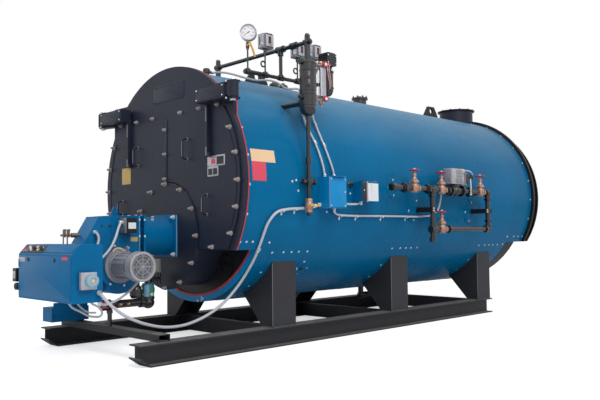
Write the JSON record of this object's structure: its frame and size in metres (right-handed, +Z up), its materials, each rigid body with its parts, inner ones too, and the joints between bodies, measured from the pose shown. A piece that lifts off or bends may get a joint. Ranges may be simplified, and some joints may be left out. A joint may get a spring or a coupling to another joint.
{
  "type": "horizontal fire-tube boiler",
  "caption": "Skid-mounted horizontal fire-tube boiler with two hinged front smokebox doors, a forced-draught burner, water column, gauges and a valved feedwater station.",
  "frame": {"origin": "on the floor at the centre of the four anchor-bolt holes in the skid rails, under the drum axis and midway between the front and rear saddles", "axes": "+X from the burner end to the flue end, +Y away from the water column side, +Z up"},
  "size_m": [5.666, 2.1429, 2.548],
  "materials": {
    "jacket_blue": "satin",
    "burner_blue": "satin",
    "skid_paint": "satin",
    "door_paint": "satin",
    "black_paint": "satin",
    "cast_fittings": "matte",
    "motor_paint": "satin",
    "gas_valve": "satin",
    "gauge": "polished",
    "control_grey": "satin",
    "glass_guard": "satin",
    "bronze": "satin",
    "wheel_red": "gloss",
    "conduit": "matte",
    "bare_steel": "satin"
  },
  "bodies": {
    "boiler": {"barrel": "jacket_blue", "blowdown_piping": "cast_fittings", "burner_beam": "skid_paint", "burner_housing": "burner_blue", "burner_motor": "motor_paint", "burner_plate": "black_paint", "burner_tube": "burner_blue", "conduits": "conduit", "control_cabinet": "burner_blue", "control_header": "cast_fittings", "cross_header": "cast_fittings", "damper_actuator": "black_paint", "damper_linkage": "bare_steel", "drain_pipe": "cast_fittings", "feed_control_valve": "cast_fittings", "feedwater_pipes": "cast_fittings", "front_flange": "door_paint", "front_smokebox": "jacket_blue", "front_tube_sheet": "black_paint", "gas_train": "cast_fittings", "gas_valve": "gas_valve", "gate_valves": "bronze", "gauge_glass": "glass_guard", "hand_hole": "cast_fittings", "hinge_brackets": "door_paint", "junction_box": "burner_blue", "level_control": "cast_fittings", "lifting_lugs": "jacket_blue", "pipe_brackets": "black_paint", "pressure_controls": "control_grey", "pressure_gauge": "gauge", "rear_door": "black_paint", "rear_flue_box": "black_paint", "rear_rim": "black_paint", "rear_smokebox": "jacket_blue", "rear_tube_sheet": "black_paint", "saddle_front": "skid_paint", "saddle_middle": "skid_paint", "saddle_rear": "skid_paint", "side_control": "burner_blue", "siphons": "cast_fittings", "skid_box": "burner_blue", "skid_cross_members": "skid_paint", "skid_rails": "skid_paint", "small_conduits": "conduit", "stack_collar": "door_paint", "top_nozzles": "cast_fittings", "valve_actuator": "control_grey", "water_column": "cast_fittings"},
    "door_near": {"door_near": "door_paint", "davit_near": "door_paint"},
    "door_far": {"door_far": "door_paint", "davit_far": "door_paint"},
    "handwheel_1": {"handwheel_1": "wheel_red"},
    "handwheel_2": {"handwheel_2": "wheel_red"},
    "handwheel_3": {"handwheel_3": "wheel_red"},
    "handwheel_4": {"handwheel_4": "wheel_red"}
  },
  "joints": [
    {"name": "near_door_swing", "type": "hinge", "parent": "boiler", "child": "door_near", "pos_m": [-2.194, -0.94, 1.942], "axis": [0, 0, 1], "range_deg": [0, 100]},
    {"name": "far_door_swing", "type": "hinge", "parent": "boiler", "child": "door_far", "pos_m": [-2.194, 0.94, 1.942], "axis": [0, 0, -1], "range_deg": [0, 100]},
    {"name": "valve_1_turn", "type": "hinge", "parent": "boiler", "child": "handwheel_1", "pos_m": [-0.219, -1.09, 1.454], "axis": [0, 0, 1], "range_deg": [0, 360]},
    {"name": "valve_2_turn", "type": "hinge", "parent": "boiler", "child": "handwheel_2", "pos_m": [0.208, -1.09, 1.454], "axis": [0, 0, 1], "range_deg": [0, 360]},
    {"name": "valve_3_turn", "type": "hinge", "parent": "boiler", "child": "handwheel_3", "pos_m": [0.896, -1.09, 1.454], "axis": [0, 0, 1], "range_deg": [0, 360]},
    {"name": "valve_4_turn", "type": "hinge", "parent": "boiler", "child": "handwheel_4", "pos_m": [0.202, -1.09, 1.083], "axis": [0, 0, 1], "range_deg": [0, 360]}
  ]
}
